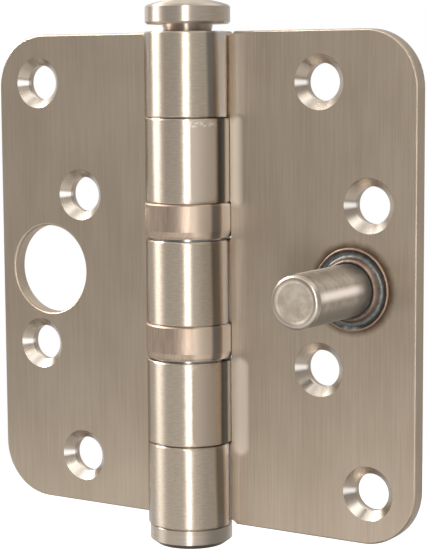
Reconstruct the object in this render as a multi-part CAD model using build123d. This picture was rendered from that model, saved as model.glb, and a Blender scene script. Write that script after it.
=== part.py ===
from build123d import *
import math
import os

# Ball bearing butt hinge, opened flat, all sizes in millimetres.
# Z runs up the pin axis and the origin is on that axis at mid height.
# The frame leaf lies towards -X and the door leaf towards +X.
# The countersunk faces and the proud side of the barrel look towards -Y.

# Leaves
HEIGHT = 89.0
LEAF_REACH = 44.5
SHEET = 3.0
CORNER_R = 10.0
FRONT_Y = 1.75
EDGE_ROUND = 0.35
CLOSE = 0.05

# Barrel
BORE_R = 4.8
BARREL_R = BORE_R + SHEET
ROOT_FILLET_R = 1.5
TIP_GAP = 0.04
TIP_ROUND = 1.6
ROOT_X = 8.35
SHEET_START_X = 6.2
KNUCKLE_GAP = 0.06
BEARING_H = 6.6
KNUCKLE_H = (HEIGHT - 2 * BEARING_H) / 5

# Screw holes and the hole that takes the stud
OUTER_HOLE_X = 35.4
INNER_HOLE_X = 25.7
FAR_HOLE_Z = 35.5
NEAR_HOLE_Z = 14.5
HOLE_R = 3.3
MOUTH_R = 4.8
STUD_HOLE_X = 33.1
STUD_HOLE_R = 8.4
STUD_HOLE_ROUND = 0.45

# Pressed reliefs in the door leaf beside the frame leaf's knuckles, and the dips at its root
RELIEF_X = 9.1
RELIEF_HALF_WIDTH = 1.7
RELIEF_R = 12.5
RELIEF_START_X = 6.6
RELIEFS = [(13.2, 29.9), (-31.9, -13.4)]
ROOT_DIP_DEPTH = 0.75
ROOT_DIP_R = 1.5
ROOT_DIP_X = 7.4

# Pin and bottom cap
PIN_R = 4.75
PIN_END_BEVEL = 0.6
HEAD_R = 7.6
HEAD_RIM_H = 3.0
HEAD_DOME_H = 1.2
HEAD_GAP = 1.35
NECK_TOP_R = 4.55
NECK_LOW_R = 4.25
NECK_SINK = 0.3
CAP_R = 7.5
CAP_SIDE_H = 2.8
CAP_TAPER_H = 0.9
CAP_FOOT_R = 6.3
CAP_DOME_H = 0.3
CAP_RIM_BEVEL = 0.25
SPIGOT_R = 4.77
SPIGOT_H = 3.0
SPIGOT_BEVEL = 0.4

# Security stud and its weld
STUD_X = 32.2
STUD_R = 4.6
STUD_LENGTH = 20.0
STUD_BEVEL = 0.85
STUD_DIMPLE = 0.15
STUD_DIMPLE_R = 3.2
WELD_R = 7.3
WELD_RIDGE_R = 7.0
WELD_RIDGE_H = 0.6
WELD_GROOVE_R = 6.2
WELD_GROOVE_H = 0.2
WELD_COLLAR_R = 5.5
WELD_COLLAR_LOW = 0.6
WELD_COLLAR_H = 1.5

# Thrust bearings
CASE_R = 7.95
CASE_WALL = 0.6
CASE_FLANGE = 1.0
CASE_MOUTH_R = 5.75
CASE_SHOULDER = 0.3
CASE_LIP_GAP = 0.4
CASE_LIP_H = 0.45
CASE_BEVEL_H = 1.3
CASE_FOOT_R = 7.55
CASE_FOOT_BULGE = 0.2
RACE_BORE_R = 4.85
TOP_RACE_H = 2.2
RACE_R = 6.75
RACE_PLAY = 0.05
BALL_R = 0.85
BALL_PITCH_R = 5.95
BALL_COUNT = 12
BALL_PLAY = 0.03
GROOVE_DEPTH = 0.4
CAGE_H = 0.6
CAGE_BORE_R = 5.0
CAGE_R = 6.95
POCKET_PLAY = 0.06

HALF = HEIGHT / 2
BACK_Y = FRONT_Y + SHEET

# Knuckles from the top: one, three and five are the door leaf's
K1_LOW = HALF - KNUCKLE_H
K2_LOW = K1_LOW - KNUCKLE_H
K3_TOP = K2_LOW - BEARING_H
K3_LOW = K3_TOP - KNUCKLE_H
K4_TOP = K3_LOW - BEARING_H
K4_LOW = K4_TOP - KNUCKLE_H
DOOR_KNUCKLES = [(K1_LOW + KNUCKLE_GAP, HALF), (K3_LOW, K3_TOP), (-HALF, K4_LOW - KNUCKLE_GAP)]
FRAME_KNUCKLES = [(K2_LOW, K1_LOW - KNUCKLE_GAP), (K4_LOW + KNUCKLE_GAP, K4_TOP)]
DOOR_HOLES = [
    (INNER_HOLE_X, FAR_HOLE_Z),
    (OUTER_HOLE_X, NEAR_HOLE_Z),
    (INNER_HOLE_X, -NEAR_HOLE_Z),
    (OUTER_HOLE_X, -FAR_HOLE_Z),
]
FRAME_HOLES = [
    (OUTER_HOLE_X, FAR_HOLE_Z),
    (INNER_HOLE_X, NEAR_HOLE_Z),
    (OUTER_HOLE_X, -NEAR_HOLE_Z),
    (INNER_HOLE_X, -FAR_HOLE_Z),
]


def turned(points):
    """A closed outline in the XZ plane, turned round the pin axis."""
    outline = Plane.XZ * make_face(Polyline(*points, close=True))
    return revolve(outline, Axis.Z)


def barrel_room():
    """The room that the sheets leave round the knuckles and, a little wider, the bearings."""
    room = Cylinder(BARREL_R + KNUCKLE_GAP, 2 * HEIGHT)
    for top in (K2_LOW, K3_LOW):
        room += Pos(0, 0, top - BEARING_H / 2) * Cylinder(CASE_R + KNUCKLE_GAP, BEARING_H)
    return room


def sheet_plate():
    """The flat of a leaf, from the edge that hugs the barrel to its rounded outer corners."""
    width = LEAF_REACH - SHEET_START_X
    outline = Pos(SHEET_START_X + width / 2, 0) * Rectangle(width, HEIGHT)
    outer_corners = outline.vertices().group_by(Axis.X)[-1]
    outline = fillet(outer_corners, CORNER_R)
    plate = extrude(Plane.XZ.offset(-FRONT_Y) * outline, -SHEET)
    faces = plate.faces().sort_by(Axis.Y)
    rims = faces[0].edges() + faces[-1].edges()
    outer_rims = [rim for rim in rims if rim.center().X > SHEET_START_X + CLOSE]
    return fillet(outer_rims, EDGE_ROUND) - barrel_room()


def roll_section():
    """The rolled end of a leaf in plan: bend, turn round the pin, and rounded tip."""
    mid_y = FRONT_Y + SHEET / 2
    bend_r = ROOT_FILLET_R + SHEET / 2
    turn_r = BORE_R + SHEET / 2
    start = math.asin((mid_y + bend_r) / (turn_r + bend_r))
    bend_x = (turn_r + bend_r) * math.cos(start)
    bend_y = mid_y + bend_r
    middle = (-math.pi / 2 + start - math.pi) / 2
    tip_y = FRONT_Y - TIP_GAP
    tip_out = math.asin(tip_y / BARREL_R)
    tip_in = math.asin(tip_y / BORE_R)
    full = 2 * math.pi

    def on_bend(radius, angle):
        return bend_x + radius * math.cos(angle), bend_y + radius * math.sin(angle)

    def on_turn(radius, angle):
        return radius * math.cos(angle), radius * math.sin(angle)

    back_bend = ThreePointArc((bend_x, BACK_Y), on_bend(ROOT_FILLET_R, middle), on_turn(BARREL_R, start))
    outer_mid = on_turn(BARREL_R, (start + full + tip_out) / 2)
    outer_turn = ThreePointArc(on_turn(BARREL_R, start), outer_mid, on_turn(BARREL_R, tip_out))
    tip = Line(on_turn(BARREL_R, tip_out), on_turn(BORE_R, tip_in))
    inner_mid = on_turn(BORE_R, (start + full + tip_in) / 2)
    inner_turn = ThreePointArc(on_turn(BORE_R, tip_in), inner_mid, on_turn(BORE_R, start))
    front_r = ROOT_FILLET_R + SHEET
    front_bend = ThreePointArc(on_turn(BORE_R, start), on_bend(front_r, middle), (bend_x, FRONT_Y))
    front = Line((bend_x, FRONT_Y), (ROOT_X, FRONT_Y))
    edge = Line((ROOT_X, FRONT_Y), (ROOT_X, BACK_Y))
    back = Line((ROOT_X, BACK_Y), (bend_x, BACK_Y))
    section = make_face([back_bend, outer_turn, tip, inner_turn, front_bend, front, edge, back])
    tip_corner = section.vertices().sort_by_distance(on_turn(BARREL_R, tip_out))[0]
    return fillet(tip_corner, TIP_ROUND)


def knuckle(low, high):
    """One rolled knuckle with its root, and rounded rims at both ends."""
    solid = Pos(0, 0, low) * extrude(roll_section(), high - low)
    rims = []
    for end in solid.faces().filter_by(Axis.Z):
        for rim in end.edges():
            middle = rim.position_at(0.5)
            outside = math.hypot(middle.X, middle.Y) > BARREL_R - TIP_ROUND
            if outside and middle.X < ROOT_X - CLOSE and rim.length > EDGE_ROUND:
                rims.append(rim)
    return fillet(rims, EDGE_ROUND)


def countersunk_hole(x, z):
    """A screw hole with a 90 degree mouth in the front face."""
    depth = MOUTH_R - HOLE_R
    cone = Cone(MOUTH_R + CLOSE, HOLE_R, depth + CLOSE)
    bore = Cylinder(HOLE_R, 3 * SHEET)
    placed = Pos(x, FRONT_Y + (depth - CLOSE) / 2, z) * Rot(-90, 0, 0) * cone
    return placed + Pos(x, FRONT_Y, z) * Rot(90, 0, 0) * bore


def behind_tip(x):
    """All that lies behind the free tips of the rolls, from x outwards."""
    corner = (Align.MIN, Align.MIN, Align.CENTER)
    return Pos(x, FRONT_Y - TIP_GAP / 2, 0) * Box(HEIGHT, HEIGHT, 2 * HEIGHT, align=corner)


def relief(low, high):
    """The dished pill beside a knuckle: a shallow round-ended groove pressed in the front face."""
    above = math.sqrt(RELIEF_R**2 - RELIEF_HALF_WIDTH**2)
    bottom = low + RELIEF_HALF_WIDTH
    top = high - RELIEF_HALF_WIDTH
    groove = Cylinder(RELIEF_R, top - bottom)
    for side in (1, -1):
        groove += Pos(0, 0, side * (top - bottom) / 2) * Sphere(RELIEF_R)
    groove = Pos(RELIEF_X, FRONT_Y - above, (bottom + top) / 2) * groove
    return groove & behind_tip(RELIEF_START_X)


def leaf(knuckles, holes):
    """A leaf stamped and rolled from one sheet, its barrel side towards -X."""
    solid = sheet_plate()
    for low, high in knuckles:
        solid += knuckle(low, high)
    for x, z in holes:
        solid -= countersunk_hole(x, z)
    return solid


def door_leaf():
    """Knuckles one, three and five, with the reliefs and the dips at its root."""
    solid = leaf(DOOR_KNUCKLES, DOOR_HOLES)
    for low, high in RELIEFS:
        solid -= relief(low, high)
    sink = ROOT_DIP_R - ROOT_DIP_DEPTH
    for side in (1, -1):
        place = Pos(ROOT_DIP_X, FRONT_Y + SHEET, side * (HALF + sink))
        dip = place * Rot(90, 0, 0) * Cylinder(ROOT_DIP_R, 3 * SHEET)
        solid -= dip & behind_tip(SHEET_START_X)
    return solid


def frame_leaf():
    """Knuckles two and four and the large hole that takes the stud."""
    solid = leaf(FRAME_KNUCKLES, FRAME_HOLES)
    solid -= Pos(STUD_HOLE_X, FRONT_Y, 0) * Rot(90, 0, 0) * Cylinder(STUD_HOLE_R, 4 * SHEET)
    circles = solid.edges().filter_by(GeomType.CIRCLE)
    rims = [rim for rim in circles if abs(rim.radius - STUD_HOLE_R) < CLOSE]
    solid = fillet(rims, STUD_HOLE_ROUND)
    return mirror(solid, Plane.YZ)


def dome(reach, rise, base):
    """The right half of a round cap's outline, from its rim at base up to its crown."""
    sphere_r = (reach**2 + rise**2) / (2 * rise)
    half_turn = math.asin(reach / sphere_r) / 2
    middle = (sphere_r * math.sin(half_turn), base + rise - sphere_r * (1 - math.cos(half_turn)))
    return ThreePointArc((reach, base), middle, (0, base + rise))


def hinge_pin():
    """Shaft, undercut neck and domed head, turned in one piece."""
    head_low = HALF + HEAD_GAP
    rim_top = head_low + HEAD_RIM_H
    end = SPIGOT_H - HALF
    lines = [
        Line((0, end), (PIN_R - PIN_END_BEVEL, end)),
        Line((PIN_R - PIN_END_BEVEL, end), (PIN_R, end + PIN_END_BEVEL)),
        Line((PIN_R, end + PIN_END_BEVEL), (PIN_R, HALF - NECK_SINK)),
        Line((PIN_R, HALF - NECK_SINK), (NECK_LOW_R, HALF)),
        Line((NECK_LOW_R, HALF), (NECK_TOP_R, head_low)),
        Line((NECK_TOP_R, head_low), (HEAD_R - EDGE_ROUND, head_low)),
        Line((HEAD_R - EDGE_ROUND, head_low), (HEAD_R, head_low + EDGE_ROUND)),
        Line((HEAD_R, head_low + EDGE_ROUND), (HEAD_R, rim_top)),
        Line((HEAD_R, rim_top), (HEAD_R - EDGE_ROUND, rim_top + EDGE_ROUND)),
        dome(HEAD_R - EDGE_ROUND, HEAD_DOME_H, rim_top + EDGE_ROUND),
        Line((0, rim_top + EDGE_ROUND + HEAD_DOME_H), (0, end)),
    ]
    return revolve(Plane.XZ * make_face(lines), Axis.Z)


def bottom_cap():
    """Plug in the bottom knuckle: a spigot, a straight side and a tapered foot."""
    side_low = -HALF - CAP_SIDE_H
    foot = side_low - CAP_TAPER_H
    top = SPIGOT_H - HALF
    side = Polyline(
        (CAP_FOOT_R, -foot),
        (CAP_R, -side_low),
        (CAP_R, HALF + CAP_RIM_BEVEL),
        (CAP_R - CAP_RIM_BEVEL, HALF),
        (SPIGOT_R, HALF),
        (SPIGOT_R, -top + SPIGOT_BEVEL),
        (SPIGOT_R - SPIGOT_BEVEL, -top),
        (0, -top),
        (0, CAP_DOME_H - foot),
    )
    upside_down = Plane.XZ * make_face([side, dome(CAP_FOOT_R, CAP_DOME_H, -foot)])
    return Rot(180, 0, 0) * revolve(upside_down, Axis.Z)


def on_door_face(solid):
    """Stands a solid made along +Z out of the door leaf's front face at the stud."""
    return Pos(STUD_X, FRONT_Y, 0) * Rot(90, 0, 0) * solid


def security_stud():
    """Round dog stud with a rounded and slightly dimpled end."""
    face_r = STUD_R - STUD_BEVEL
    shoulder = STUD_LENGTH - STUD_BEVEL
    dimple = STUD_LENGTH - STUD_DIMPLE
    foot = [(STUD_R, shoulder), (STUD_R, 0), (0, 0)]
    end = [(0, dimple), (STUD_DIMPLE_R, dimple), (face_r, STUD_LENGTH)]
    side = Polyline(*foot, *end)
    turn = STUD_BEVEL * math.sqrt(0.5)
    edge = ThreePointArc((face_r, STUD_LENGTH), (face_r + turn, shoulder + turn), (STUD_R, shoulder))
    return on_door_face(revolve(Plane.XZ * make_face([side, edge]), Axis.Z))


def stud_weld():
    """Weld bead round the stud: a rounded collar, a wide groove and a thin outer ridge."""
    ridge = (WELD_RIDGE_R, WELD_RIDGE_H)
    slope = ((WELD_R + WELD_RIDGE_R) / 2 + WELD_GROOVE_H / 3, WELD_RIDGE_H / 2)
    collar = (WELD_COLLAR_R, WELD_COLLAR_LOW)
    crown = ((WELD_COLLAR_R + STUD_R) / 2, (WELD_COLLAR_LOW + 2 * WELD_COLLAR_H) / 3)
    lines = [
        Line((STUD_R, 0), (WELD_R, 0)),
        ThreePointArc((WELD_R, 0), slope, ridge),
        ThreePointArc(ridge, (WELD_GROOVE_R, WELD_GROOVE_H), collar),
        ThreePointArc(collar, crown, (STUD_R, WELD_COLLAR_H)),
        Line((STUD_R, WELD_COLLAR_H), (STUD_R, 0)),
    ]
    return on_door_face(revolve(Plane.XZ * make_face(lines), Axis.Z))


def ball_level(top):
    """Height of the ball centres in the bearing whose upper face is at top."""
    return top - CASE_FLANGE - TOP_RACE_H + GROOVE_DEPTH - BALL_PLAY - BALL_R


def ball_groove(top):
    """The running groove of both races, a ring a little larger than the balls."""
    return Pos(0, 0, ball_level(top)) * Torus(BALL_PITCH_R, BALL_R + BALL_PLAY)


def bearing_case(top):
    """Drawn case: flange, straight wall and the foot rolled in over the lower race."""
    low = top - BEARING_H + CASE_LIP_GAP
    inner = CASE_R - CASE_WALL
    lip = RACE_R + 2 * RACE_PLAY
    return turned(
        [
            (CASE_MOUTH_R, top),
            (CASE_R - CASE_SHOULDER, top),
            (CASE_R, top - CASE_SHOULDER),
            (CASE_R, low + CASE_BEVEL_H),
            (CASE_FOOT_R + CASE_FOOT_BULGE, low + CASE_LIP_H),
            (CASE_FOOT_R, low),
            (lip, low),
            (lip, low + CASE_LIP_H),
            (inner, low + CASE_BEVEL_H),
            (inner, top - CASE_FLANGE),
            (CASE_MOUTH_R, top - CASE_FLANGE),
        ]
    )


def top_race(top):
    """Race under the case flange, grooved on its lower face."""
    high = top - CASE_FLANGE
    low = high - TOP_RACE_H
    outer = CASE_R - CASE_WALL - RACE_PLAY
    ring = turned([(RACE_BORE_R, low), (outer, low), (outer, high), (RACE_BORE_R, high)])
    return ring - ball_groove(top)


def bottom_race(top):
    """Race that rests on the knuckle below, grooved on its upper face."""
    low = top - BEARING_H
    high = ball_level(top) - BALL_R - BALL_PLAY + GROOVE_DEPTH
    ring = turned([(RACE_BORE_R, low), (RACE_R, low), (RACE_R, high), (RACE_BORE_R, high)])
    return ring - ball_groove(top)


def ball_cage(top):
    """Flat ring with one round pocket for each ball."""
    level = ball_level(top)
    ring = Pos(0, 0, level) * (Cylinder(CAGE_R, CAGE_H) - Cylinder(CAGE_BORE_R, 2 * CAGE_H))
    for turn in range(BALL_COUNT):
        pocket = Rot(0, 0, turn * 360 / BALL_COUNT) * Pos(BALL_PITCH_R, 0, level)
        ring -= pocket * Cylinder(BALL_R + POCKET_PLAY, 2 * CAGE_H)
    return ring


def bearing_balls(top):
    """The ring of balls, one solid each."""
    level = ball_level(top)
    balls = []
    for turn in range(BALL_COUNT):
        place = Rot(0, 0, turn * 360 / BALL_COUNT) * Pos(BALL_PITCH_R, 0, level)
        balls.append(place * Sphere(BALL_R))
    return Compound(children=balls)


PIECES = {
    "frame_leaf": frame_leaf(),
    "door_leaf": door_leaf(),
    "hinge_pin": hinge_pin(),
    "bottom_cap": bottom_cap(),
    "security_stud": security_stud(),
    "stud_weld": stud_weld(),
}
for name, top in (("upper", K2_LOW), ("lower", K3_LOW)):
    PIECES[f"{name}_bearing_case"] = bearing_case(top)
    PIECES[f"{name}_bearing_top_race"] = top_race(top)
    PIECES[f"{name}_bearing_bottom_race"] = bottom_race(top)
    PIECES[f"{name}_bearing_cage"] = ball_cage(top)
    PIECES[f"{name}_bearing_balls"] = bearing_balls(top)

os.makedirs("parts", exist_ok=True)
for name, solid in PIECES.items():
    export_step(solid, f"parts/{name}.step")
    print(name, round(solid.volume, 1), solid.bounding_box().size)
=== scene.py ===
"""Looks of a ball bearing butt hinge in satin stainless steel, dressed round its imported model.

The model stands in its own frame: Z runs up the pin axis, the frame leaf lies towards -X, the door
leaf towards +X, and the countersunk faces look towards -Y. Sizes here are in millimetres and are
turned to metres where a mesh, a lamp or the camera is made.

A finish is built up in layers: a Skin starts as one bare metal, and each Coat is laid over it where
a mask is 1. Masks are laid out in millimetres on the hinge itself, flat or unrolled from it.
"""

import logging
import math
from dataclasses import dataclass, fields, replace
from enum import Enum
from typing import Protocol

import bmesh
import bpy
from mathutils import Matrix, Vector, noise


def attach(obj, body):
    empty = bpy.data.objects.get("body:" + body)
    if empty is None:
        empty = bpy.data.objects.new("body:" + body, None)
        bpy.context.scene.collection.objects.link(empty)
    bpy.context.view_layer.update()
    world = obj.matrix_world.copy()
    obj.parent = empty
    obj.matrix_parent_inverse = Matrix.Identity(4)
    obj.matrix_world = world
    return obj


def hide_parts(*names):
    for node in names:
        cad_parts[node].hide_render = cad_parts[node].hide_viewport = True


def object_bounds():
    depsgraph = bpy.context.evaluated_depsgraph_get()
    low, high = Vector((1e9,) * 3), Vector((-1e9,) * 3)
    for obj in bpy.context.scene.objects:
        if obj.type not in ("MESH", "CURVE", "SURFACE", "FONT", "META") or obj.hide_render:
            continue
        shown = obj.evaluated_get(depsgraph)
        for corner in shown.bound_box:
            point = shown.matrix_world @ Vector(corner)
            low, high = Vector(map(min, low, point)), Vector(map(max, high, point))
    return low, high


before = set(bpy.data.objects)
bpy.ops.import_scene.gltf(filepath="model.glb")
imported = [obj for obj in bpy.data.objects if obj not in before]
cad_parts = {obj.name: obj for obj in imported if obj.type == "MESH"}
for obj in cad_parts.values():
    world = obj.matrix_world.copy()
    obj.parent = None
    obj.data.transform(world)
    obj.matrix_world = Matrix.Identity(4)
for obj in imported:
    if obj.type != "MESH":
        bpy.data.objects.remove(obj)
CAD_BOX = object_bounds()

LOG = logging.getLogger("hinge")
MM = 0.001
PER_MM = 1.0 / MM

Socket = bpy.types.NodeSocket
Value = Socket | str | float | tuple
Span = tuple[float, float]
Point = tuple[float, float, float]
Colours = tuple[str, str]

# Places that the finishes share with the model, in mm
FRONT_Y, BACK_Y = 1.75, 4.75
BARREL_R = 7.8
MOUTH_R = 4.8
BORE_R = 8.4
CAP_TOP_Z = -44.4
STUD_X, STUD_R, STUD_END_Y = 32.2, 4.6, -18.25

# Just past the knuckles' faces, and where the finish of a leaf's front ends down its edges
ROLLED_R = BARREL_R + 0.03
FRONT_ENDS = (BACK_Y - 1.2, BACK_Y - 0.4)

# The ways that a tool's marks run, a relief that is neither up nor down, and a reach past any part
ALONG_X, ALONG_Y, ALONG_Z = (1.0, 0.0, 0.0), (0.0, 1.0, 0.0), (0.0, 0.0, 1.0)
LEVEL = 0.5
ENDLESS = 99.0


def linear(hex_colour: str) -> tuple[float, float, float, float]:
    """Turn a written colour to what the shaders read, by the sRGB curve.

    Args:
        hex_colour: An sRGB colour such as "#A89B8B".

    Returns:
        The linear red, green and blue, with an alpha of 1.
    """
    channels = [int(hex_colour[i : i + 2], 16) / 255 for i in (1, 3, 5)]
    red, green, blue = (
        c / 12.92 if c <= 0.04045 else ((c + 0.055) / 1.055) ** 2.4 for c in channels
    )
    return red, green, blue, 1.0


def add_node(
    tree: bpy.types.NodeTree, kind: str, inputs: tuple | dict = (), **settings: object
) -> bpy.types.Node:
    """Add a node with its settings, values and links.

    Args:
        tree: The node tree that takes the node.
        kind: Blender's name of the node type, after "ShaderNode".
        inputs: Values or other nodes' outputs, in the sockets' order or by name or number.
        settings: Properties of the node itself.

    Returns:
        The new node.
    """
    node = tree.nodes.new("ShaderNode" + kind)
    for name, value in settings.items():
        setattr(node, name, value)
    for socket, value in inputs.items() if isinstance(inputs, dict) else enumerate(inputs):
        if isinstance(value, bpy.types.NodeSocket):
            tree.links.new(value, node.inputs[socket])
        else:
            node.inputs[socket].default_value = value
    return node


class Layer(Enum):
    """What is laid over what: the Mix node's type, its two inputs and its output."""

    COLOUR = ("RGBA", 6, 7, 2)
    NUMBER = ("FLOAT", 2, 3, 0)
    WAY = ("VECTOR", 4, 5, 1)


@dataclass(frozen=True)
class Band:
    """A strip between two values, with soft borders that lie inside it."""

    low: float
    high: float
    soft: float


@dataclass(frozen=True)
class Grain:
    """Noise whose cells are as wide as said along each axis, in mm, and how fine its detail is."""

    cells: Point
    detail: float = 3.0
    roughness: float = 0.6


@dataclass(frozen=True)
class Uneven:
    """How a border wanders: the width of its waves and how far they reach, in mm."""

    cell: float
    reach: float


@dataclass(frozen=True)
class Coat:
    """What one layer of a finish changes. None keeps what lies under it."""

    colour: Socket | str | None = None
    roughness: float | None = None
    anisotropy: float | None = None
    way: Socket | Point | None = None
    height: Socket | float | None = None


class MetalGraph:
    """The node tree of one metal, with patterns laid out in millimetres on the object itself."""

    def __init__(self, name: str) -> None:
        """Start an empty material with its coordinates.

        Args:
            name: The material's name: the real metal and how its surface was made.
        """
        self.material = bpy.data.materials.new(name)
        self.material.use_nodes = True
        self.tree = self.material.node_tree
        self.tree.nodes.clear()
        source = add_node(self.tree, "TexCoord").outputs["Object"]
        self.place = self.add("VectorMath", {0: source, "Scale": PER_MM}, operation="SCALE")
        self.x, self.y, self.z = add_node(self.tree, "SeparateXYZ", (self.place,)).outputs

    def add(
        self, kind: str, inputs: tuple | dict = (), out: int | str = 0, **settings: object
    ) -> Socket:
        """Add a node and give the output that is used next, the first unless another is named."""
        return add_node(self.tree, kind, inputs, **settings).outputs[out]

    def lay(self, layer: Layer, mask: Socket | float, under: Value, top: Value) -> Socket:
        """Lay one value over another.

        Args:
            layer: Whether colours, numbers or vectors are laid.
            mask: 0 where the lower value shows and 1 where the upper one does.
            under: The lower value, a colour as its hex.
            top: The upper value, a colour as its hex.

        Returns:
            The two as one value.
        """
        data_type, lower, upper, out = layer.value
        under, top = (linear(value) if isinstance(value, str) else value for value in (under, top))
        return self.add("Mix", {0: mask, lower: under, upper: top}, out, data_type=data_type)

    def two_tone(self, pattern: Socket, colours: Colours, span: Span = (0.3, 0.7)) -> Socket:
        """The first colour where a pattern is at the span's start, the second at its end."""
        return self.lay(Layer.COLOUR, self.fade(pattern, span[1], span[0]), *colours)

    def fade(self, value: Socket, full: float, none: float) -> Socket:
        """A mask that is 1 where value is at full and 0 where it is at none, smooth between."""
        limits = {"Value": value, "From Min": none, "From Max": full}
        return self.add("MapRange", limits, interpolation_type="SMOOTHSTEP")

    def within(self, value: Socket, band: Band) -> Socket:
        """A mask that is 1 where value lies in a band and 0 outside it."""
        rising = self.fade(value, band.low + band.soft, band.low)
        return self.all_of(rising, self.fade(value, band.high - band.soft, band.high))

    def all_of(self, *masks: Socket) -> Socket:
        """Keep what every one of some masks leaves.

        Args:
            masks: Two masks or more.

        Returns:
            Their common part as one mask.
        """
        kept = masks[0]
        for mask in masks[1:]:
            kept = self.add("Math", (kept, mask), operation="MULTIPLY")
        return kept

    def front(self) -> Socket:
        """A mask that is 1 on the front of a leaf and down most of its edges, 0 on its back."""
        return self.fade(self.y, *FRONT_ENDS)

    def from_line(self, x: float, z: float) -> Socket:
        """Measure straight out from a line along Y.

        Args:
            x: Where the line lies, in mm.
            z: Its height, in mm.

        Returns:
            The way from the line to the point, in mm.
        """
        across = self.add("Math", (self.x, x), operation="SUBTRACT")
        up = self.add("Math", (self.z, z), operation="SUBTRACT")
        return self.add("CombineXYZ", (across, 0.0, up))

    def distance(self, x: float, z: float) -> Socket:
        """How far a point is from a line along Y at that x and z, in mm."""
        return self.add("VectorMath", (self.from_line(x, z),), "Value", operation="LENGTH")

    def turn(self, x: float, z: float) -> Socket:
        """Where a point lies round a line along Y: radians from the line's top towards +X."""
        out = add_node(self.tree, "SeparateXYZ", (self.from_line(x, z),)).outputs
        return self.add("Math", (out["X"], out["Z"]), operation="ARCTAN2")

    def past_box(self, place: Socket, middle: Point, arms: Span) -> Socket:
        """Measure from the sides of a block that is endless along its second axis.

        Args:
            place: The point to measure from, in mm.
            middle: The block's middle.
            arms: Half of its first and of its third size.

        Returns:
            How far the point lies outside the block, and 0 inside it.
        """
        off = self.add("VectorMath", (place, middle), operation="SUBTRACT")
        off = self.add("VectorMath", (off,), operation="ABSOLUTE")
        off = self.add("VectorMath", (off, (arms[0], ENDLESS, arms[1])), operation="SUBTRACT")
        off = self.add("VectorMath", (off, (0.0, 0.0, 0.0)), operation="MAXIMUM")
        return self.add("VectorMath", (off,), "Value", operation="LENGTH")

    def pin_radius(self) -> Socket:
        """How far a point is from the pin axis, in mm."""
        flat = self.add("CombineXYZ", (self.x, self.y))
        return self.add("VectorMath", (flat,), "Value", operation="LENGTH")

    def round_pin(self) -> Socket:
        """Unroll a point from the barrel.

        Returns:
            How far it lies round the barrel from the front, out from the pin and up, in mm.
        """
        back = self.add("Math", (self.y, -1.0), operation="MULTIPLY")
        angle = self.add("Math", (self.x, back), operation="ARCTAN2")
        arc = self.add("Math", (angle, BARREL_R), operation="MULTIPLY")
        return self.add("CombineXYZ", (arc, self.pin_radius(), self.z))

    def round_stud(self) -> Socket:
        """A point unrolled from the stud: mm round it from its top, mm out, and mm along it."""
        arc = self.add("Math", (self.turn(STUD_X, 0.0), STUD_R), operation="MULTIPLY")
        return self.add("CombineXYZ", (arc, self.distance(STUD_X, 0.0), self.y))

    def noise(self, place: Socket, grain: Grain) -> Socket:
        """Lay noise out over a place.

        Args:
            place: The point, in mm.
            grain: The noise's cells and detail.

        Returns:
            A number near 0.5, between 0 and 1.
        """
        scaled = self.add("VectorMath", (place, grain.cells), operation="DIVIDE")
        settings = {"Scale": 1.0, "Detail": grain.detail, "Roughness": grain.roughness}
        return self.add("TexNoise", {"Vector": scaled} | settings)

    def ragged(self, value: Socket, place: Socket, uneven: Uneven) -> Socket:
        """Let a value wander, so that a border drawn from it does.

        Args:
            value: The value, in mm.
            place: The point that decides how far it wanders, in mm.
            uneven: The waves.

        Returns:
            The value, pushed up and down.
        """
        # Noise lies between 0 and 1, so it reaches half of 1 to either side of its middle
        push = self.noise(place, Grain((uneven.cell, uneven.cell, uneven.cell)))
        push = self.add("Math", (push, LEVEL), operation="SUBTRACT")
        return self.add("Math", (push, 2.0 * uneven.reach, value), operation="MULTIPLY_ADD")


@dataclass
class Skin:
    """What a metal surface shows, built up by laying one coat over another."""

    graph: MetalGraph
    colour: Socket | str
    roughness: Socket | float
    anisotropy: Socket | float = 0.0
    way: Socket | Point = ALONG_Z
    height: Socket | float = LEVEL

    def lay(self, mask: Socket, coat: Coat) -> None:
        """Lay a coat over the skin.

        Args:
            mask: 1 where the coat shows.
            coat: What it changes there.
        """
        layers = {"colour": Layer.COLOUR, "way": Layer.WAY}
        for field in fields(coat):
            value = getattr(coat, field.name)
            if value is not None:
                layer = layers.get(field.name, Layer.NUMBER)
                under = getattr(self, field.name)
                setattr(self, field.name, self.graph.lay(layer, mask, under, value))

    def finish(self, depth: float) -> bpy.types.Material:
        """Close the material with a metal shader.

        Args:
            depth: The relief, in mm, that a height of 1 stands for.

        Returns:
            The material.
        """
        g = self.graph
        to_world = {"vector_type": "VECTOR", "convert_from": "OBJECT", "convert_to": "WORLD"}
        sockets = {
            "Base Color": linear(self.colour) if isinstance(self.colour, str) else self.colour,
            "Metallic": 1.0,
            "Roughness": self.roughness,
            "Anisotropic": self.anisotropy,
            "Tangent": g.add("VectorTransform", (self.way,), **to_world),
            "Normal": g.add("Bump", {"Height": self.height, "Distance": depth * MM}),
        }
        shader = g.add("BsdfPrincipled", sockets)
        add_node(g.tree, "OutputMaterial", {"Surface": shader})
        return g.material


@dataclass
class LeafSkin(Skin):
    """A leaf's skin, which also knows where the leaf is rolled round the pin."""

    def __post_init__(self) -> None:
        """Find the barrel and unroll it."""
        g = self.graph
        self.rolled = g.add("Math", (g.pin_radius(), ROLLED_R), operation="LESS_THAN")
        self.unrolled = g.round_pin()
        self.arc = g.add("SeparateXYZ", (self.unrolled,))


class LeafDetail(Protocol):
    """A place on a leaf that was worked by itself and lays its own coats."""

    def lay_on(self, leaf: LeafSkin) -> None:
        """Lay the detail's coats over a leaf's skin."""


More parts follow.
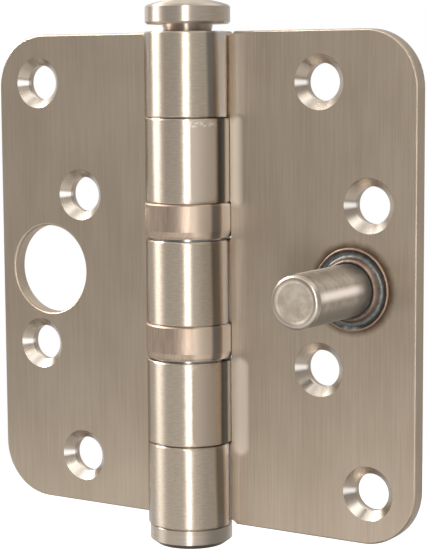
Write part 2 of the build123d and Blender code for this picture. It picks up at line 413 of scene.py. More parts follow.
@dataclass(frozen=True)
class PressedSpot:
    """A spot on a knuckle that the rolling die pressed smooth: pale, even and without a grain.

    Beside it a dark, shiny strip and further round a duller pale strip are painted reflections,
    and a scuffed top, where there is one, is partly a painted highlight.
    Spans are in mm, round the barrel from its front and up.
    """

    arc: Span
    rise: Span
    # Where the dark strip of painted reflection lies, in mm round the barrel
    rubbed_at: Band
    colour: str = "#C4B7A9"
    pressed: Coat = Coat(roughness=0.66, anisotropy=0.0, height=0.9)
    corner: float = 0.9
    border: float = 0.35
    border_uneven: Uneven = Uneven(0.5, 0.25)
    scuffed: bool = False
    # Scuffs along the spot's top, painted light: partly scuffing, partly a painted highlight on its
    # top edge
    scuff: Coat = Coat("#DFD7CD", 0.5)
    scuff_height: float = 1.3
    scuff_soft: float = 0.5
    scuff_uneven: Uneven = Uneven(1.0, 0.5)
    specks: Grain = Grain((0.8, 0.8, 0.5))
    speck_limits: Span = (0.6, 0.46)
    margin: float = 1.0
    margin_end: float = 14.4
    margin_soft: float = 0.8
    # The pale strip further round, a painted reflection
    margin_coat: Coat = Coat("#B9B3AB")
    height_soft: float = 0.4
    # The dark, shiny strip beside the spot, a painted reflection
    rubbed: Coat = Coat("#4D4E4E", 0.22, 0.2, height=LEVEL)

    def lay_on(self, leaf: LeafSkin) -> None:
        """Lay the spot, its partly painted scuffed top if it has one, and the painted strips beside
        it.

        Args:
            leaf: The skin of the leaf that carries the spot.
        """
        g = leaf.graph
        low, top = self.rise
        smooth = g.all_of(self.mask(leaf), leaf.rolled)
        leaf.lay(smooth, replace(self.pressed, colour=self.colour))
        if self.scuffed:
            specks = g.fade(g.noise(g.place, self.specks), *self.speck_limits)
            uneven = g.ragged(g.z, g.place, self.scuff_uneven)
            strip = g.within(uneven, Band(top - self.scuff_height, top, self.scuff_soft))
            leaf.lay(g.all_of(specks, strip, smooth), self.scuff)
        height = g.within(g.z, Band(low - self.margin, top + self.margin, self.height_soft))
        start = self.rubbed_at.high - self.margin
        beside = g.within(leaf.arc, Band(start, self.margin_end, self.margin_soft))
        leaf.lay(g.all_of(beside, height, leaf.rolled), self.margin_coat)
        rubbed = g.within(leaf.arc, self.rubbed_at)
        leaf.lay(g.all_of(rubbed, height, leaf.rolled), self.rubbed)

    def mask(self, leaf: LeafSkin) -> Socket:
        """Mark the spot out.

        Args:
            leaf: The skin of the leaf that carries the spot.

        Returns:
            1 inside the spot, 0 outside, with rounded corners and a slightly ragged border.
        """
        middle = (sum(self.arc) / 2, 0.0, sum(self.rise) / 2)
        arms = tuple((high - low) / 2 - self.corner for low, high in (self.arc, self.rise))
        past = leaf.graph.past_box(leaf.unrolled, middle, arms)
        past = leaf.graph.ragged(past, leaf.unrolled, self.border_uneven)
        return leaf.graph.fade(past, self.corner, self.corner + self.border)


@dataclass(frozen=True)
class PressedHollow:
    """A shallow hollow pressed into the leaf beside a knuckle of the other leaf, in mm.

    Its floor is matt and carries painted light: it is pale at the first x of its span and looks
    like the leaf at the second.
    """

    low: float
    high: float
    x: float
    half_width: float
    # Across this span of x the painted light fades from pale to the leaf's own look
    pale_x: Span
    rim: Span = (-1.1, 0.2)
    floor: Coat = Coat("#F3E6D6", 0.7, 0.0, height=LEVEL)

    def lay_on(self, leaf: LeafSkin) -> None:
        """Lay the hollow's floor with its painted light, soft at its rim.

        Args:
            leaf: The skin of the leaf that carries the hollow.
        """
        g = leaf.graph
        arm = (self.high - self.low) / 2 - self.half_width
        past = g.past_box(g.place, (self.x, 0.0, (self.low + self.high) / 2), (0.0, arm))
        inside = g.fade(past, *(self.half_width + edge for edge in self.rim))
        leaf.lay(g.all_of(inside, g.front(), g.fade(g.x, *self.pale_x)), self.floor)


@dataclass(frozen=True)
class PaintedBarrelReflections:
    """Painted reflections on the door leaf's barrel, in mm round the pin from the front.

    A dark strip and a pale one are painted reflections that run up the knuckles and lean a
    little. The crease between barrel and flat is matt, and painted light there hides its shade.
    """

    lean: float = 0.019
    # A dark strip, a painted reflection
    burnished_at: Band = Band(8.3, 11.0, 0.8)
    burnished: Coat = Coat("#8A847D")
    # A pale strip, a painted reflection
    pale_at: Band = Band(10.9, 14.4, 0.5)
    pale: Coat = Coat("#D5D9DF")
    # The crease, painted light so that its shade does not show
    crease_out: Band = Band(5.0, 9.2, 0.3)
    crease_deep: Band = Band(0.0, FRONT_Y - 0.005, 0.08)
    crease_x: Span = (6.6, 6.0)
    crease: Coat = Coat("#FFF4E8", 0.75)

    def lay_on(self, leaf: LeafSkin) -> None:
        """Lay both strips and the crease.

        Args:
            leaf: The skin of the leaf.
        """
        g = leaf.graph
        leaning = g.add("Math", (g.z, self.lean, leaf.arc), operation="MULTIPLY_ADD")
        leaf.lay(g.all_of(g.within(leaning, self.burnished_at), leaf.rolled), self.burnished)
        leaf.lay(g.all_of(g.within(leaning, self.pale_at), leaf.rolled), self.pale)
        out, deep = g.within(g.pin_radius(), self.crease_out), g.within(g.y, self.crease_deep)
        leaf.lay(g.all_of(out, deep, g.fade(g.x, *self.crease_x)), self.crease)


@dataclass(frozen=True)
class HeatBloom:
    """Brown oxide and painted contact shadow round a weld on a leaf's front, uneven at its edge."""

    x: float
    z: float
    reach: Span = (7.1, 8.7)
    uneven: Uneven = Uneven(3.0, 0.6)
    # Real heat oxide, darkest at the bead's foot where it is also painted contact shadow
    oxide: Coat = Coat("#6C5A48")

    def lay_on(self, leaf: LeafSkin) -> None:
        """Lay the bloom.

        Args:
            leaf: The skin of the leaf that was welded.
        """
        g = leaf.graph
        out = g.ragged(g.distance(self.x, self.z), g.place, self.uneven)
        leaf.lay(g.all_of(g.fade(out, *self.reach), g.front()), self.oxide)


@dataclass(frozen=True)
class PunchedBore:
    """The wall of the stud's hole, with a painted highlight towards the leaf's free edge and its
    foot.
    """

    x: float
    z: float
    wall: Span = (BORE_R + 0.1, BORE_R + 0.25)
    # Where the painted highlight lies, in radians from the wall's top towards +X
    bright_turn: Band = Band(-3.0, -1.4, 0.7)
    burnished: Coat = Coat("#F4EBDF")

    def lay_on(self, leaf: LeafSkin) -> None:
        """Lay the painted highlight on one side of the wall.

        Args:
            leaf: The skin of the leaf with the hole.
        """
        g = leaf.graph
        wall = g.all_of(g.fade(g.distance(self.x, self.z), *self.wall), g.front())
        bright = g.within(g.turn(self.x, self.z), self.bright_turn)
        leaf.lay(g.all_of(wall, bright), self.burnished)


@dataclass(frozen=True)
class Countersink:
    """The cone of a screw hole, shiny from the cutter: its fine rings draw lamps out. Its lower
    half is painted light, its upper half painted shade, and a painted glint lies on its -X side.

    Turns are in radians from the hole's top towards +X.
    """

    x: float
    z: float
    edge: float = MOUTH_R + 0.02
    # The cutter's rings are finer than this, and are drawn coarse enough to show
    rings: Grain = Grain((0.16, 0.16, 1.0))
    rings_hidden: float = 0.75
    # Painted shade on the cone's upper half and painted light on its lower half
    upper_colour: str = "#B0A394"
    lower_colour: str = "#F0E6D9"
    lower_turns: tuple[Span, Span] = ((-2.5, -1.9), (2.9, 2.2))
    cut: Coat = Coat(roughness=0.26, anisotropy=0.5)
    # A painted glint
    flash_turn: Band = Band(-1.78, -1.38, 0.17)
    flash: Coat = Coat("#FFFBF6", 0.46)

    def lay_on(self, leaf: LeafSkin) -> None:
        """Lay the cone, with painted light in its lower half, and its painted glint.

        Args:
            leaf: The skin of the leaf with the hole.
        """
        g = leaf.graph
        reach, turn = g.distance(self.x, self.z), g.turn(self.x, self.z)
        cone = g.all_of(g.add("Math", (reach, self.edge), operation="LESS_THAN"), g.front())
        rings = g.noise(g.add("CombineXYZ", (reach, g.y)), self.rings)
        relief = g.lay(Layer.NUMBER, self.rings_hidden, rings, LEVEL)
        sides = tuple(g.fade(turn, *span) for span in self.lower_turns)
        lower = g.add("Math", sides, operation="MAXIMUM")
        colour = g.lay(Layer.COLOUR, lower, self.upper_colour, self.lower_colour)
        out = g.from_line(self.x, self.z)
        leaf.lay(cone, replace(self.cut, colour=colour, way=out, height=relief))
        leaf.lay(g.all_of(cone, g.within(turn, self.flash_turn)), self.flash)


@dataclass(frozen=True)
class SatinLeaf:
    """Stainless sheet, belt brushed along the pin and then rolled into knuckles.

    The flat shows long soft streaks that smear reflections sideways. The knuckles were dressed
    round the pin, so there the scratches run the other way and draw lamps out into upright bars.
    """

    name: str
    details: tuple[LeafDetail, ...]
    colours: Colours = ("#C8B8A5", "#B9A895")
    roughness: float = 0.4
    anisotropy: float = 0.8
    # Lines of the belt are near 0.1 mm wide, and are drawn wider so that they show
    streaks: Grain = Grain((0.28, 0.28, 14.0))
    streaks_hidden: float = 0.85
    # Soft patches where the belt bit more or less
    clouds: Grain = Grain((7.0, 7.0, 16.0), 2.0)
    cloudy: float = 0.45
    # The knuckles' two tones follow their scratches, and are lighter than the flat's as painted
    # light
    knuckle_colours: Colours = ("#CDBFAE", "#C0B19F")
    # The scratches round the knuckles are drawn wider than real too
    scratches: Grain = Grain((1.3, 1.3, 0.25))
    dressed: Coat = Coat(roughness=0.345, anisotropy=0.95, way=ALONG_Z)
    # Painted shade on the front of the barrel towards -X, in mm round it from the front
    shy_at: Band = Band(-8.0, -3.2, 1.5)
    shy: Coat = Coat("#BDB2A6")
    depth: float = 0.02

    def build(self) -> bpy.types.Material:
        """Make the material: the flat, the knuckles, and then each detail over them.

        Returns:
            The material.
        """
        g = MetalGraph(self.name)
        streaks = g.noise(g.place, self.streaks)
        shade = g.lay(Layer.NUMBER, self.cloudy, streaks, g.noise(g.place, self.clouds))
        relief = g.lay(Layer.NUMBER, self.streaks_hidden, streaks, LEVEL)
        colour = g.two_tone(shade, self.colours)
        leaf = LeafSkin(g, colour, self.roughness, self.anisotropy, ALONG_X, relief)
        self.dress_knuckles(leaf)
        for detail in self.details:
            detail.lay_on(leaf)
        return leaf.finish(self.depth)

    def dress_knuckles(self, leaf: LeafSkin) -> None:
        """Lay the scratches that run round the pin, and the painted shade on the barrel's -X side.

        Args:
            leaf: The leaf's skin.
        """
        g = leaf.graph
        scratches = g.noise(leaf.unrolled, self.scratches)
        colour, relief = g.two_tone(scratches, self.knuckle_colours), g.fade(scratches, 0.0, 1.0)
        leaf.lay(leaf.rolled, replace(self.dressed, colour=colour, height=relief))
        # Painted shade on the barrel's -X side
        leaf.lay(g.all_of(g.within(leaf.arc, self.shy_at), leaf.rolled), self.shy)


@dataclass(frozen=True)
class TurnedSteel:
    """Stainless bar turned on a lathe: fine rings that draw lamps out along the axis.

    The cap is painted darker on the side of the door leaf, and its underside darker still, both as
    painted shade.
    """

    name: str
    colours: Colours = ("#CBBEB0", "#BFB1A2")
    roughness: float = 0.34
    anisotropy: float = 0.9
    # A lathe feeds near 0.1 mm a turn, and its rings are drawn twice as wide so that they show
    rings: Grain = Grain((5.0, 0.2, 0.2))
    # Painted shade on the cap's side towards the door leaf
    worn_arc: Band = Band(6.5, 14.5, 2.5)
    worn_z: Span = (CAP_TOP_Z - 0.1, CAP_TOP_Z + 0.1)
    worn: Coat = Coat("#A99E92")
    # Painted shade on the cap's underside, below this height
    scale_z: Span = (-47.4, -47.2)
    scale_uneven: Uneven = Uneven(1.5, 0.12)
    scale: Coat = Coat("#6A5E53")
    depth: float = 0.004

    def build(self) -> bpy.types.Material:
        """Make the material.

        Returns:
            The material.
        """
        g = MetalGraph(self.name)
        place = g.round_pin()
        rings = g.noise(place, self.rings)
        colour = g.two_tone(rings, self.colours)
        skin = Skin(g, colour, self.roughness, self.anisotropy, height=rings)
        side = g.within(g.add("SeparateXYZ", (place,)), self.worn_arc)
        skin.lay(g.all_of(side, g.fade(g.z, *self.worn_z)), self.worn)
        uneven = g.ragged(g.z, g.place, self.scale_uneven)
        skin.lay(g.fade(uneven, *self.scale_z), self.scale)
        return skin.finish(self.depth)


@dataclass(frozen=True)
class SawnStud:
    """Steel stud, turned along its side and sawn and tumbled at its end.

    The side is grained, darker underneath as painted shade, and has a painted highlight along it.
    The end is mottled with a sharp rim, and near the weld the heat left a brown and blue bloom.
    Places are in mm round the stud from its top, out from its axis, and along Y.
    """

    name: str
    colours: Colours = ("#B3A79A", "#A3978A")
    tones: Span = (0.4, 0.62)
    roughness: float = 0.6
    anisotropy: float = 0.95
    # The rings of the lathe, drawn coarser than real so that they show
    rings: Grain = Grain((4.0, 0.25, 0.25))
    rings_hidden: float = 0.7
    spots: Grain = Grain((1.6, 1.6, 1.6), 4.0)
    # Painted shade on the stud's underside
    under_at: Band = Band(8.0, 13.5, 1.5)
    under: Coat = Coat("#968D81")
    # A painted highlight line along the side towards +X
    worn_at: Band = Band(5.0, 7.6, 1.2)
    worn_y: Band = Band(-20.0, -0.4, 4.5)
    worn: Coat = Coat("#FFF3E9")
    heat_uneven: Uneven = Uneven(2.5, 1.4)
    brown_y: Span = (1.0, -6.5)
    brown: Coat = Coat("#5E564E")
    blue_y: Span = (0.5, -2.0)
    blue_spots: Span = (0.65, 0.5)
    blue: Coat = Coat("#6B7073")
    end_y: Span = (STUD_END_Y + 0.1, STUD_END_Y + 0.3)
    end_colours: Colours = ("#C6B7A6", "#E4D7C7")
    end: Coat = Coat(roughness=0.42, anisotropy=0.0)
    ring_out: Span = (3.9, 3.3)
    ring: Coat = Coat("#A89B8D")
    rim_y: Span = (STUD_END_Y + 0.75, STUD_END_Y + 0.95)
    rim_out: Span = (3.95, 3.8)
    rim: Coat = Coat("#BFB3A6", 0.3, 0.0)
    depth: float = 0.02

    def build(self) -> bpy.types.Material:
        """Make the material.

        Returns:
            The material.
        """
        g = MetalGraph(self.name)
        place = g.round_stud()
        spots = g.noise(g.place, self.spots)
        relief = g.lay(Layer.NUMBER, self.rings_hidden, g.noise(place, self.rings), LEVEL)
        colour = g.two_tone(spots, self.colours, self.tones)
        skin = Skin(g, colour, self.roughness, self.anisotropy, ALONG_Y, relief)
        arc = g.add("SeparateXYZ", (place,))
        skin.lay(g.within(arc, self.under_at), self.under)
        skin.lay(g.all_of(g.within(arc, self.worn_at), g.within(g.y, self.worn_y)), self.worn)
        warm = g.ragged(g.y, g.place, self.heat_uneven)
        skin.lay(g.fade(warm, *self.brown_y), self.brown)
        skin.lay(g.all_of(g.fade(warm, *self.blue_y), g.fade(spots, *self.blue_spots)), self.blue)
        self.lay_end(skin, spots)
        return skin.finish(self.depth)

    def lay_end(self, skin: Skin, spots: Socket) -> None:
        """Lay the mottled end, the ring near its edge, and the rim.

        Args:
            skin: The stud's skin.
            spots: The noise that mottles it.
        """
        g = skin.graph
        out, end = g.distance(STUD_X, 0.0), g.fade(g.y, *self.end_y)
        mottled = g.two_tone(spots, self.end_colours)
        skin.lay(end, replace(self.end, colour=mottled, height=spots))
        skin.lay(g.all_of(end, g.fade(out, *self.ring_out)), self.ring)
        rim = g.all_of(g.fade(g.y, *self.rim_y), g.fade(out, *self.rim_out))
        skin.lay(rim, replace(self.rim, height=spots))


@dataclass(frozen=True)
class HeatTint:
    """Weld metal that cooled in air: coppery crests, a blue-black groove and a dark throat.

    Places are in mm out from the stud's axis.
    """

    name: str
    groove_colours: Colours = ("#79746F", "#646B6A")
    tones: Span = (0.42, 0.6)
    roughness: float = 0.44
    spots: Grain = Grain((1.3, 1.3, 1.3))
    relief: Grain = Grain((0.5, 0.5, 0.5), 2.0)
    uneven: Uneven = Uneven(1.2, 0.12)
    outer_crest: Span = (7.05, 6.85)
    inner_crest: Span = (5.4, 5.6)
    crest: Coat = Coat("#AA8F7E")
    throat_out: Span = (5.0, 5.15)
    throat: Coat = Coat("#5A534D")
    depth: float = 0.02

    def build(self) -> bpy.types.Material:
        """Make the material with its bands of colour round the stud.

        Returns:
            The material.
        """
        g = MetalGraph(self.name)
        out = g.ragged(g.distance(STUD_X, 0.0), g.place, self.uneven)
        colour = g.two_tone(g.noise(g.place, self.spots), self.groove_colours, self.tones)
        skin = Skin(g, colour, self.roughness, height=g.noise(g.place, self.relief))
        skin.lay(g.fade(out, *self.outer_crest), self.crest)
        skin.lay(g.fade(out, *self.inner_crest), self.crest)
        skin.lay(g.fade(out, *self.throat_out), self.throat)
        return skin.finish(self.depth)


@dataclass(frozen=True)
class DrawnCase:
    """Bearing case deep drawn from thin steel: warm and smooth, with the die's marks up its side.

    On the side of the door leaf a bright, a dark and a pale strip are painted reflections, in mm
    round the pin from the front.
    """

    name: str
    colours: Colours = ("#BDA896", "#A89483")
    tones: Span = (0.3, 0.75)
    roughness: float = 0.4
    # The die's scratches, drawn coarser than real so that they show
    marks: Grain = Grain((0.3, 0.3, 4.0))
    # Bright, dark and pale strips of painted reflection, in mm round the pin
    strips: tuple[tuple[Band, Coat], ...] = (
        (Band(4.6, 9.4, 1.2), Coat("#DBC7B3")),
        (Band(8.2, 10.9, 0.9), Coat("#85817D")),
        (Band(10.6, 14.0, 0.6), Coat("#DEDAD6")),
    )
    depth: float = 0.008

    def build(self) -> bpy.types.Material:
        """Make the material.

        Returns:
            The material.
        """
        g = MetalGraph(self.name)
        place = g.round_pin()
        marks = g.noise(place, self.marks)
        colour = g.two_tone(marks, self.colours, self.tones)
        skin = Skin(g, colour, self.roughness, height=marks)
        arc = g.add("SeparateXYZ", (place,))
        for band, coat in self.strips:
            skin.lay(g.within(arc, band), coat)
        return skin.finish(self.depth)


@dataclass(frozen=True)
class BearingMetal:
    """A part inside the bearing, with a trace of its tool round the pin.

    Polished balls mirror sharply, ground races a little less, and the pressed cage is soft yellow.
    """

    name: str
    colours: Colours
    roughness: float
    anisotropy: float = 0.5
    # The trace is drawn coarser than real so that it shows
    marks: Grain = Grain((6.0, 0.3, 0.3))
    depth: float = 0.002

    def build(self) -> bpy.types.Material:
        """Make the material.

        Returns:
            The material.
        """
        g = MetalGraph(self.name)
        marks = g.noise(g.round_pin(), self.marks)
        colour = g.two_tone(marks, self.colours)
        return Skin(g, colour, self.roughness, self.anisotropy, height=marks).finish(self.depth)


def dress(node: str, material: bpy.types.Material) -> None:
    """Give a carried-over node its finish.

    Args:
        node: The node's name in the model.
        material: Its finish.
    """
    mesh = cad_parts[node].data
    mesh.materials.clear()
    mesh.materials.append(material)
    LOG.info("%s in %s", node, material.name)


@dataclass
class Leaves:
    """The two leaves: where their screw holes, pressed hollows and pressed spots lie."""

    inner_x: float = 25.7
    outer_x: float = 35.4
    near_z: float = 14.5
    far_z: float = 35.5
    door_colours: Colours = ("#C3B3A0", "#B4A390")
    hollows: tuple[PressedHollow, ...] = (
        PressedHollow(13.2, 29.9, 9.3, 1.9, (8.9, 11.1)),
        PressedHollow(-31.9, -13.4, 9.5, 2.0, (9.6, 6.9)),
    )
    spots: tuple[PressedSpot, ...] = (
        PressedSpot((5.0, 9.7), (14.9, 28.9), Band(9.4, 12.8, 1.1), scuffed=True),
        PressedSpot((5.0, 9.6), (-28.9, -14.9), Band(10.0, 13.3, 1.1), "#B8AA9B"),
    )

    def build(self) -> None:
        """Dress both leaves. The screw holes of one lie inwards where the other's lie outwards."""
        heights = (self.far_z, self.near_z, -self.near_z, -self.far_z)
        door_x = (self.inner_x, self.outer_x) * 2
        frame_x = (-self.outer_x, -self.inner_x) * 2
        bloom = HeatBloom(STUD_X, 0.0)
        door_details = (PaintedBarrelReflections(), *self.hollows, bloom, *map(Countersink, door_x, heights))
        door = SatinLeaf("brushed stainless door leaf", door_details, self.door_colours)
        dress("door_leaf", door.build())
        bore = PunchedBore(-STUD_X, 0.0)
        frame_details = (*self.spots, bore, *map(Countersink, frame_x, heights))
        dress("frame_leaf", SatinLeaf("brushed stainless frame leaf", frame_details).build())


class Barrel:
    """The pin and the cap that closes the barrel."""

    def build(self) -> None:
        """Dress both in the same turned steel."""
        turned = TurnedSteel("turned stainless").build()
        for node in ("hinge_pin", "bottom_cap"):
            dress(node, turned)


class Bearings:
    """The two ball bearings: case, races, cage and balls."""

    def build(self) -> None:
        """Dress each part of both bearings."""
        case = DrawnCase("drawn bearing case").build()
        race = BearingMetal("ground bearing steel", ("#B9BABA", "#A9AAAA"), 0.22).build()
        cage = BearingMetal("pressed brass", ("#C9A35A", "#B8924C"), 0.3).build()
        ball = BearingMetal("polished chrome steel", ("#CFCFD0", "#C6C6C8"), 0.06).build()
        for side in ("upper", "lower"):
            dress(f"{side}_bearing_case", case)
            dress(f"{side}_bearing_top_race", race)
            dress(f"{side}_bearing_bottom_race", race)
            dress(f"{side}_bearing_cage", cage)
            dress(f"{side}_bearing_balls", ball)


@dataclass
class SecurityStud:
    """The stud and its weld bead: a thin outer ridge, a wide groove and a rounded inner collar.

    The bead's outline is given in mm out from the stud's axis and mm up from the leaf's front.
    """

    outline: tuple[Span, ...] = (
        (4.55, 0.0), (4.55, 1.44), (4.75, 1.5), (5.05, 1.42), (5.3, 1.12), (5.45, 0.72),
        (5.62, 0.45), (5.9, 0.27), (6.2, 0.2), (6.5, 0.26), (6.72, 0.44), (6.88, 0.57),
        (7.02, 0.6), (7.15, 0.52), (7.26, 0.32), (7.3, 0.0),
    )
    steps: int = 144
    merge: float = 0.001
    # A point nearer than this to the leaf or to the stud's side stays where it is
    still: float = 0.1
    # Waves round the bead, how far they drift, and how high they are
    ripples: float = 22.0
    ripple_drift: float = 1.5
    ripple_rise: float = 0.025
    # Slower swells, up and out
    swells_per_mm: float = 0.45
    swell_rise: float = 0.07
    swell_out: float = 0.05

    def build(self) -> None:
        """Dress the stud and lay the weld bead round its foot."""
        dress("security_stud", SawnStud("turned and tumbled stud").build())
        self.bead(HeatTint("heat tinted weld").build())

    def bead(self, material: bpy.types.Material) -> None:
        """Spin the outline round the stud's axis, ripple it and put the bead on the door leaf.

        Args:
            material: Its finish.
        """
        shape = bmesh.new()
        points = [
            shape.verts.new((STUD_X + out, FRONT_Y - rise, 0.0)) for out, rise in self.outline
        ]
        edges = [shape.edges.new(pair) for pair in zip(points, points[1:] + points[:1])]
        centre = Vector((STUD_X, 0.0, 0.0))
        bmesh.ops.spin(
            shape, geom=points + edges, cent=centre, axis=ALONG_Y, dvec=(0.0, 0.0, 0.0),
            angle=math.tau, steps=self.steps, use_merge=True,
        )
        bmesh.ops.remove_doubles(shape, verts=shape.verts, dist=self.merge)
        bmesh.ops.recalc_face_normals(shape, faces=shape.faces)
        for vertex in shape.verts:
            self.ripple(vertex, centre)
        bmesh.ops.scale(shape, verts=shape.verts, vec=(MM, MM, MM))
        for face in shape.faces:
            face.smooth = True
        mesh = bpy.data.meshes.new("weld_bead")
        shape.to_mesh(mesh)
        shape.free()
        mesh.materials.append(material)
        piece = bpy.data.objects.new("weld_bead", mesh)
        bpy.context.scene.collection.objects.link(piece)
        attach(piece, "door_leaf")
        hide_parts("stud_weld")
        LOG.info("weld_bead with %d faces", len(mesh.polygons))

    def ripple(self, vertex: bmesh.types.BMVert, centre: Vector) -> None:
        """Push a point of the bead in or out as the pool froze in uneven steps.

        Args:
            vertex: The point, left alone where it touches the leaf or the stud.
            centre: A point on the stud's axis.
        """
        out = Vector((vertex.co.x - centre.x, 0.0, vertex.co.z - centre.z))
        rise = FRONT_Y - vertex.co.y
        if rise < self.still or out.length < STUD_R + self.still:
            return
        angle = math.atan2(out.x, out.z)
        step = math.sin(angle * self.ripples + self.ripple_drift * noise.noise(out))
        swell = noise.noise(vertex.co * self.swells_per_mm)
        vertex.co += out.normalized() * (self.swell_out * swell)
        vertex.co.y -= self.swell_rise * swell + self.ripple_rise * step


@dataclass(frozen=True)
class Ramp:
    """A level that goes smoothly from one value to another as what it follows crosses a reach."""

    reach: Span
    levels: Span

    def level(self, tree: bpy.types.NodeTree, value: Socket) -> Socket:
        """Put the ramp in a tree.

        Args:
            tree: The node tree.
            value: What the ramp follows.

        Returns:
            The level.
        """
        limits = {"Value": value, "From Min": self.reach[0], "From Max": self.reach[1]}
        limits |= {"To Min": self.levels[0], "To Max": self.levels[1]}
        return add_node(tree, "MapRange", limits, interpolation_type="SMOOTHSTEP").outputs[0]


def total(tree: bpy.types.NodeTree, value: Socket, ramps: tuple[Ramp, ...]) -> Socket:
    """Add up the levels of several ramps that follow the same value.

    Args:
        tree: The node tree.
        value: What the ramps follow.
        ramps: Two ramps or more.

    Returns:
        Their sum.
    """
    levels = [ramp.level(tree, value) for ramp in ramps]
    added = levels[0]
    for level in levels[1:]:
        added = add_node(tree, "Math", (added, level), operation="ADD").outputs[0]
    return added


def azimuth(tree: bpy.types.NodeTree, x: Socket, y: Socket) -> Socket:
    """Turn a direction to its azimuth.

    Args:
        tree: The node tree.
        x: How far the direction goes along X.
        y: How far it goes along Y.

    Returns:
        The degrees from the front (-Y) towards +X.
    """
    back = add_node(tree, "Math", (y, -1.0), operation="MULTIPLY").outputs[0]
    turn = add_node(tree, "Math", (x, back), operation="ARCTAN2").outputs[0]
    return add_node(tree, "Math", (turn,), operation="DEGREES").outputs[0]


@dataclass(frozen=True)
class Room:
    """White behind the hinge for the camera, and a dimmer room round it for its reflections.

    The walls' ramps follow the azimuth in degrees. The ceiling's follow the height of a direction,
    which is 1 straight up.
    """

    # White at the back left, dim round the front, dimmest at its middle, a little lighter to the
    # right and the back right, and less white straight behind
    walls: tuple[Ramp, ...] = (
        Ramp((-105.0, -90.0), (1.0, 0.44)),
        Ramp((-42.0, -26.0), (0.0, -0.14)),
        Ramp((-12.0, 50.0), (0.0, 0.19)),
        Ramp((108.0, 165.0), (0.0, 0.1)),
        Ramp((-142.0, -116.0), (-0.32, 0.0)),
    )
    # Bright overhead, with a darker middle
    ceiling: tuple[Ramp, ...] = (
        Ramp((0.5, 0.75), (0.0, 0.9)),
        Ramp((0.85, 0.97), (0.0, -0.76)),
    )
    white: tuple[float, ...] = (1.0, 1.0, 1.0, 1.0)
    tint: tuple[float, ...] = (1.0, 0.99, 0.97, 1.0)

    def build(self) -> None:
        """Make the world."""
        world = bpy.data.worlds.new("studio")
        bpy.context.scene.world = world
        world.use_nodes = True
        tree = world.node_tree
        tree.nodes.clear()
        path = add_node(tree, "LightPath")
        where = add_node(tree, "TexCoord").outputs["Generated"]
        x, y, z = add_node(tree, "SeparateXYZ", (where,)).outputs
        levels = total(tree, azimuth(tree, x, y), self.walls), total(tree, z, self.ceiling)
        level = add_node(tree, "Math", levels, operation="ADD").outputs[0]
        white = add_node(tree, "Background", (self.white, 1.0)).outputs[0]
        room = add_node(tree, "Background", (self.tint, level)).outputs[0]
        seen = add_node(tree, "MixShader", (path.outputs["Is Camera Ray"], room, white))
        add_node(tree, "OutputWorld", {"Surface": seen.outputs[0]})


@dataclass(frozen=True)
class Table:
    """A round white table well under the hinge, in mm.

    The camera sees it white. The hinge mirrors it by its level, dimmer at the left, at the right
    and right under the hinge, and it throws little light otherwise. The sides' ramps follow the
    azimuth in degrees, the near one the distance from the pin in metres.
    """

    drop: float = 110.0
    radius: float = 560.0
    corners: int = 96
    level: float = 0.96
    sides: tuple[Ramp, ...] = (
        Ramp((-42.0, -24.0), (-0.4, 0.0)),
        Ramp((45.0, 80.0), (0.0, -0.5)),
    )
    # Painted shadow: the hinge sees the table dimmer right under itself
    near: Ramp = Ramp((0.14, 0.3), (-0.55, 0.0))
    matt: tuple[float, ...] = (0.15, 0.15, 0.15, 1.0)

    def build(self) -> None:
        """Make the table."""
        shape = bmesh.new()
        radius = self.radius * MM
        bmesh.ops.create_circle(shape, cap_ends=True, segments=self.corners, radius=radius)
        lowest = CAD_BOX[0].z - self.drop * MM
        bmesh.ops.translate(shape, verts=shape.verts, vec=(0.0, 0.0, lowest))
        mesh = bpy.data.meshes.new("floor")
        shape.to_mesh(mesh)
        shape.free()
        table = bpy.data.objects.new("floor", mesh)
        bpy.context.scene.collection.objects.link(table)
        mesh.materials.append(self.finish())

    def finish(self) -> bpy.types.Material:
        """Make the table's finish.

        Returns:
            The material.
        """
        material = bpy.data.materials.new("white table")
        material.use_nodes = True
        tree = material.node_tree
        tree.nodes.clear()
        path = add_node(tree, "LightPath").outputs
        where = add_node(tree, "TexCoord").outputs["Object"]
        x, y, _ = add_node(tree, "SeparateXYZ", (where,)).outputs
        out = add_node(tree, "VectorMath", (where,), operation="LENGTH").outputs["Value"]
        seen = total(tree, azimuth(tree, x, y), self.sides)
        for value, settings in (
            (self.near.level(tree, out), {"operation": "ADD"}),
            (self.level, {"operation": "ADD", "use_clamp": True}),
            (path["Is Glossy Ray"], {"operation": "MULTIPLY"}),
            (path["Is Camera Ray"], {"operation": "MAXIMUM"}),
            (path["Is Transmission Ray"], {"operation": "MAXIMUM"}),
        ):
            seen = add_node(tree, "Math", (seen, value), **settings).outputs[0]
        matt = add_node(tree, "BsdfDiffuse", {"Color": self.matt})
        glow = add_node(tree, "Emission", {"Strength": seen})
        both = add_node(tree, "AddShader", (matt.outputs[0], glow.outputs[0]))
        add_node(tree, "OutputMaterial", {"Surface": both.outputs[0]})
        return material


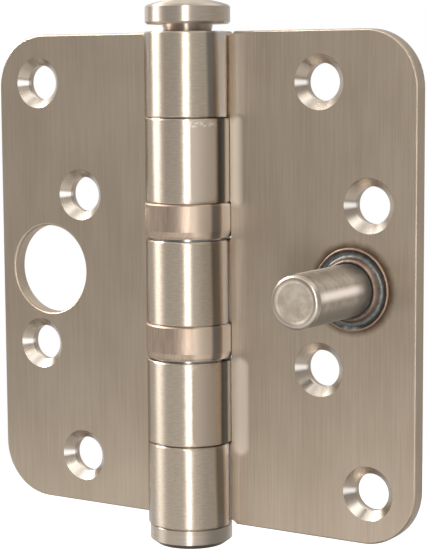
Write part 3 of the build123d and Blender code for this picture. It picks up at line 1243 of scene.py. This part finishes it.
@dataclass(frozen=True)
class Lamp:
    """A flat soft lamp that faces the hinge.

    Its azimuth is in degrees from the front (-Y) towards +X, its height in degrees, and its size
    and distance in mm. Its level is how bright the hinge sees it, where 1 is white.
    """

    name: str
    azimuth: float
    height: float
    size: Span
    level: float
    distance: float = 800.0

    def build(self) -> None:
        """Make the lamp."""
        turn, rise = math.radians(self.azimuth), math.radians(self.height)
        flat = math.cos(rise)
        away = Vector((math.sin(turn) * flat, -math.cos(turn) * flat, math.sin(rise)))
        light = bpy.data.lights.new(self.name, "AREA")
        light.shape = "RECTANGLE"
        light.size, light.size_y = self.size[0] * MM, self.size[1] * MM
        light.energy = self.level * math.pi * light.size * light.size_y
        stand = bpy.data.objects.new(self.name, light)
        stand.location = away * self.distance * MM
        stand.rotation_euler = away.to_track_quat("Z", "Y").to_euler()
        bpy.context.scene.collection.objects.link(stand)


@dataclass(frozen=True)
class Camera:
    """The view of the photograph: from the right of the barrel, a little above its middle."""

    at: Point = (172.45, -263.13, 37.38)
    aim: Point = (4.13, 1.75, 0.94)
    roll: float = -0.37
    lens: float = 114.6
    sensor: float = 36.0
    clip: Span = (0.01, 10.0)

    def build(self) -> None:
        """Make the camera, its lens and sensor in mm and its clipping in metres."""
        data = bpy.data.cameras.new("camera")
        data.lens, data.sensor_width = self.lens, self.sensor
        data.clip_start, data.clip_end = self.clip
        camera = bpy.data.objects.new("camera", data)
        at, aim = Vector(self.at) * MM, Vector(self.aim) * MM
        look = (aim - at).to_track_quat("-Z", "Y").to_matrix().to_4x4()
        roll = Matrix.Rotation(math.radians(self.roll), 4, "Z")
        camera.matrix_world = Matrix.Translation(at) @ look @ roll
        bpy.context.scene.collection.objects.link(camera)
        bpy.context.scene.camera = camera


@dataclass(frozen=True)
class Studio:
    """Room, table, lamps and camera."""

    lamps: tuple[Lamp, ...] = (
        Lamp("left_lamp", azimuth=-71.0, height=34.0, size=(240.0, 300.0), level=32.0),
        Lamp("front_lamp", azimuth=27.5, height=8.0, size=(155.0, 800.0), level=7.5),
    )

    def build(self) -> None:
        """Make everything that isn't the hinge."""
        for piece in (Room(), Table(), *self.lamps, Camera()):
            piece.build()


def main() -> None:
    """Dress the hinge and set the stage."""
    logging.basicConfig(level=logging.INFO, format="%(name)s: %(message)s")
    bpy.context.scene.view_settings.view_transform = "Standard"
    for assembly in (Leaves(), Barrel(), Bearings(), SecurityStud(), Studio()):
        assembly.build()


if __name__ == "__main__":
    main()
